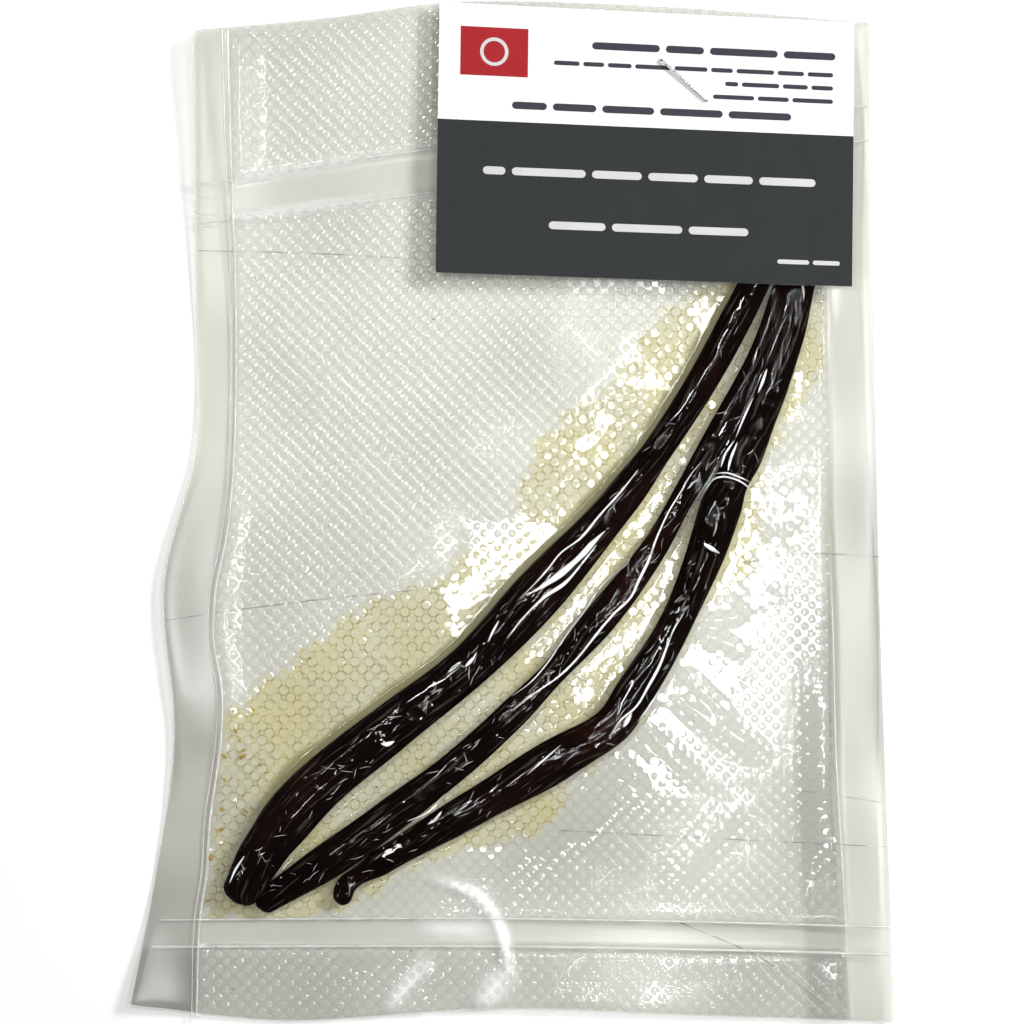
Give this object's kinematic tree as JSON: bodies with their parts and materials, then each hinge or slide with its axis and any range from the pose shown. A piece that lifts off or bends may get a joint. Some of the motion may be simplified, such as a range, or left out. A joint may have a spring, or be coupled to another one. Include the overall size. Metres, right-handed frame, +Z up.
{
  "type": "vacuum-packed vanilla pods",
  "caption": "Clear embossed vacuum bag holding cured vanilla pods side by side, lying flat, with a plain card stapled over its top edge.",
  "frame": {"origin": "centre of the pack's bounding box, on the surface that it lies on", "axes": "+X to the right across the bag, +Y along the bag towards the stapled card, +Z up from the bag's back"},
  "size_m": [0.1564, 0.209, 0.0063],
  "materials": {
    "film": "clear glossy film, embossed with small round pads at the back and smooth in front",
    "pod_skin": "oily near-black skin with fine lengthwise wrinkles",
    "card": "satin card, white above and dark grey below",
    "staple_wire": "plain bent steel wire"
  },
  "bodies": {
    "root": {"bag": "film", "pod_left": "pod_skin", "pod_middle": "pod_skin", "pod_right": "pod_skin", "card": "card", "staple": "staple_wire"}
  },
  "joints": []
}
